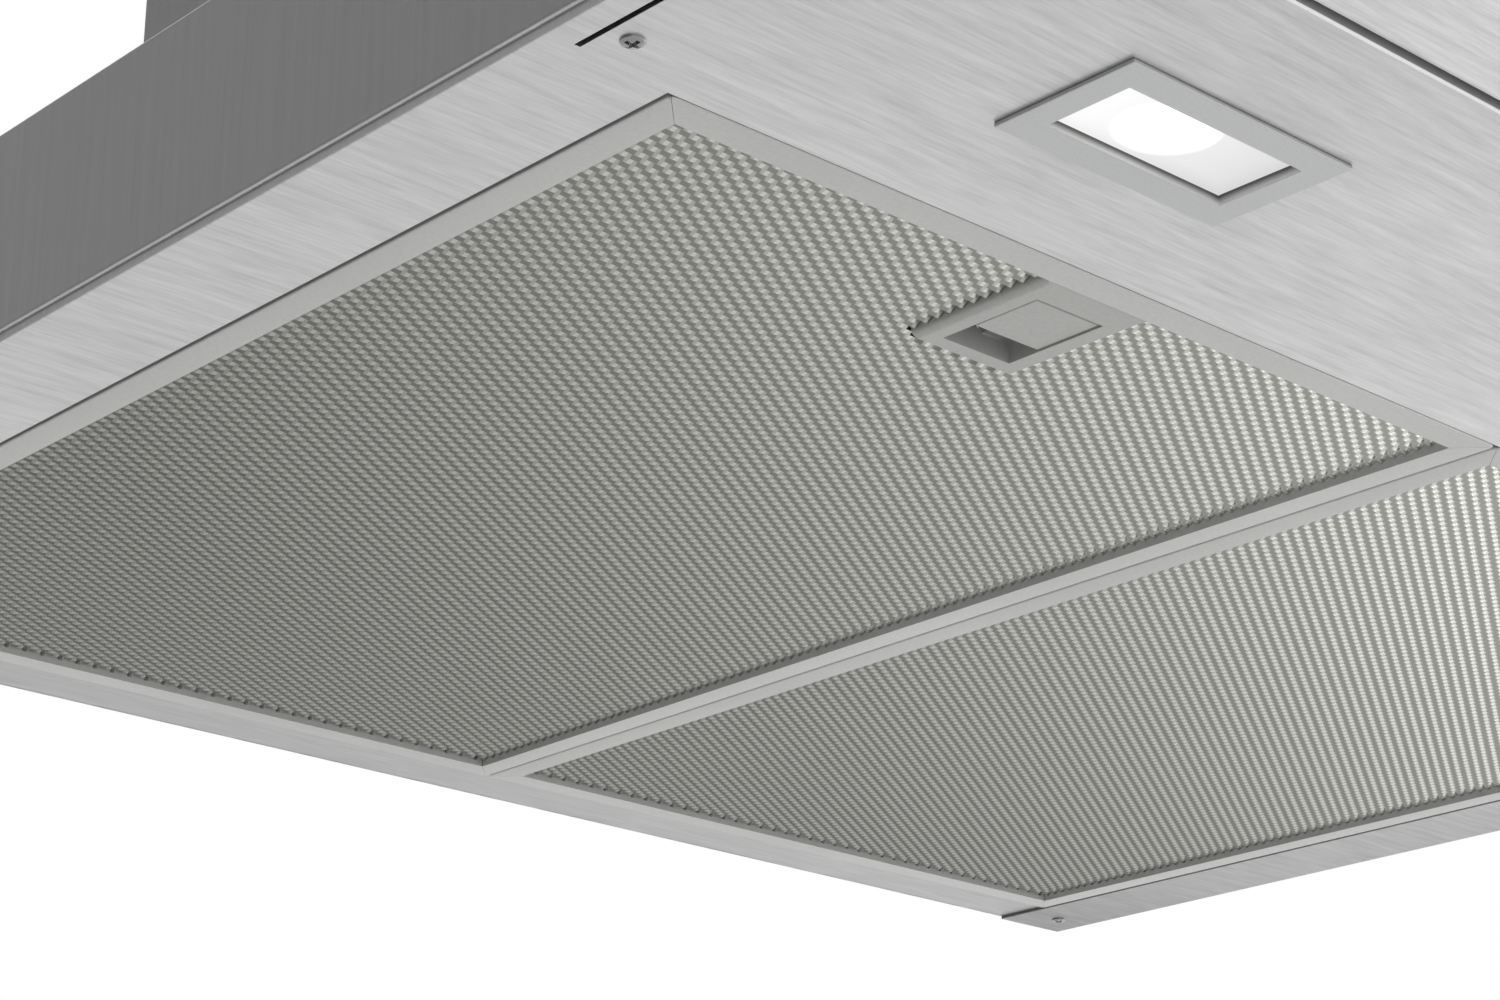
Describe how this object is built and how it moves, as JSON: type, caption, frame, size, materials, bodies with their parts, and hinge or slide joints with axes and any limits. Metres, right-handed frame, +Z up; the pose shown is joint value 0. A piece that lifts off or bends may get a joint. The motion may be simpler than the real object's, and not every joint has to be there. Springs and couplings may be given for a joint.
{
  "type": "wall mount range hood",
  "caption": "Pyramid wall range hood with lamps, swing-down mesh grease filters on spring catches, a centrifugal blower, a damper outlet and a telescoping chimney.",
  "frame": {"origin": "middle of the back panel's bottom edge, 1 mm above the pan's underside", "axes": "+X along the width, +Y into the wall, +Z up"},
  "size_m": [0.6, 0.5207, 0.6363],
  "materials": {
    "stainless": "brushed",
    "galvanised": "dull zinc coating",
    "screws": "zinc plated",
    "filter_frame": "satin",
    "filter_mesh": "mill finish",
    "spring_steel": "bright",
    "bezel": "satin silver",
    "lens": "frosted",
    "bulb": "frosted",
    "housing_plastic": "moulded",
    "dark_plastic": "moulded",
    "laminations": "laminated",
    "motor_castings": "die cast",
    "brass": "turned",
    "shaft": "ground"
  },
  "bodies": {
    "hood": {"canopy_shell": "stainless", "back_panel": "galvanised", "hanging_plates": "galvanised", "front_fascia": "stainless", "underside_pan": "stainless", "pan_brackets": "galvanised", "pan_screws": "screws", "rear_rail": "stainless", "filter_seats": "galvanised", "filter_divider": "galvanised", "button_bezel": "bezel", "switch_block": "dark_plastic", "lamp_left_bezel": "bezel", "lamp_left_lens": "lens", "lamp_left_bulb": "bulb", "lamp_left_housing": "galvanised", "lamp_right_bezel": "bezel", "lamp_right_lens": "lens", "lamp_right_bulb": "bulb", "lamp_right_housing": "galvanised", "motor_box": "galvanised", "blower_housing_left": "housing_plastic", "blower_housing_right": "housing_plastic", "motor_stator": "laminations", "motor_end_caps": "motor_castings", "motor_bearings": "brass", "motor_bracket": "galvanised", "capacitor": "dark_plastic", "terminal_box": "dark_plastic", "cable_gland": "dark_plastic", "outlet_adaptor": "dark_plastic", "lower_chimney": "stainless", "lower_chimney_screws": "screws"},
    "impeller_assembly": {"impeller": "galvanised", "impeller_hub": "brass", "motor_rotor": "laminations", "motor_shaft": "shaft"},
    "damper_front": {"damper_flap_front": "housing_plastic"},
    "damper_rear": {"damper_flap_rear": "housing_plastic"},
    "upper_chimney_assembly": {"upper_chimney": "stainless", "chimney_bracket": "galvanised", "chimney_bracket_screws": "screws"},
    "filter_left": {"filter_left_frame": "filter_frame", "filter_left_mesh": "filter_mesh", "filter_left_tabs": "spring_steel", "filter_left_latch_plate": "filter_frame", "filter_left_latch_spring": "spring_steel"},
    "filter_left_catch": {"filter_left_latch": "filter_frame"},
    "filter_right": {"filter_right_frame": "filter_frame", "filter_right_mesh": "filter_mesh", "filter_right_tabs": "spring_steel", "filter_right_latch_plate": "filter_frame", "filter_right_latch_spring": "spring_steel"},
    "filter_right_catch": {"filter_right_latch": "filter_frame"},
    "button_off": {"button_off": "stainless"},
    "button_low": {"button_low": "stainless"},
    "button_medium": {"button_medium": "stainless"},
    "button_high": {"button_high": "stainless"},
    "button_light": {"button_light": "stainless"}
  },
  "joints": [
    {"name": "filter_left_hinge", "type": "hinge", "parent": "hood", "child": "filter_left", "pos_m": [-0.13305, -0.0226, -0.001], "axis": [1, 0, 0], "range_deg": [0, 75]},
    {"name": "filter_left_catch_slide", "type": "slide", "parent": "filter_left", "child": "filter_left_catch", "axis": [0, 1, 0], "range_m": [0, 0.006], "stiffness_N_per_m": 400, "deforming": ["filter_left_latch_spring"]},
    {"name": "filter_right_hinge", "type": "hinge", "parent": "hood", "child": "filter_right", "pos_m": [0.13305, -0.0226, -0.001], "axis": [1, 0, 0], "range_deg": [0, 75]},
    {"name": "filter_right_catch_slide", "type": "slide", "parent": "filter_right", "child": "filter_right_catch", "axis": [0, 1, 0], "range_m": [0, 0.006], "stiffness_N_per_m": 400, "deforming": ["filter_right_latch_spring"]},
    {"name": "impeller_spin", "type": "hinge", "parent": "hood", "child": "impeller_assembly", "pos_m": [0, -0.15, 0.339], "axis": [1, 0, 0], "continuous": true},
    {"name": "damper_front_hinge", "type": "hinge", "parent": "hood", "child": "damper_front", "pos_m": [0, -0.0889, 0.4763], "axis": [-1, 0, 0], "range_deg": [0, 78]},
    {"name": "damper_rear_hinge", "type": "hinge", "parent": "hood", "child": "damper_rear", "pos_m": [0, -0.0809, 0.4763], "axis": [1, 0, 0], "range_deg": [0, 78]},
    {"name": "upper_chimney_slide", "type": "slide", "parent": "hood", "child": "upper_chimney_assembly", "axis": [0, 0, 1], "range_m": [0, 0.3]},
    {"name": "button_off_press", "type": "slide", "parent": "hood", "child": "button_off", "axis": [0, 1, 0], "range_m": [0, 0.002], "stiffness_N_per_m": 300},
    {"name": "button_low_press", "type": "slide", "parent": "hood", "child": "button_low", "axis": [0, 1, 0], "range_m": [0, 0.002], "stiffness_N_per_m": 300},
    {"name": "button_medium_press", "type": "slide", "parent": "hood", "child": "button_medium", "axis": [0, 1, 0], "range_m": [0, 0.002], "stiffness_N_per_m": 300},
    {"name": "button_high_press", "type": "slide", "parent": "hood", "child": "button_high", "axis": [0, 1, 0], "range_m": [0, 0.002], "stiffness_N_per_m": 300},
    {"name": "button_light_press", "type": "slide", "parent": "hood", "child": "button_light", "axis": [0, 1, 0], "range_m": [0, 0.002], "stiffness_N_per_m": 300}
  ]
}
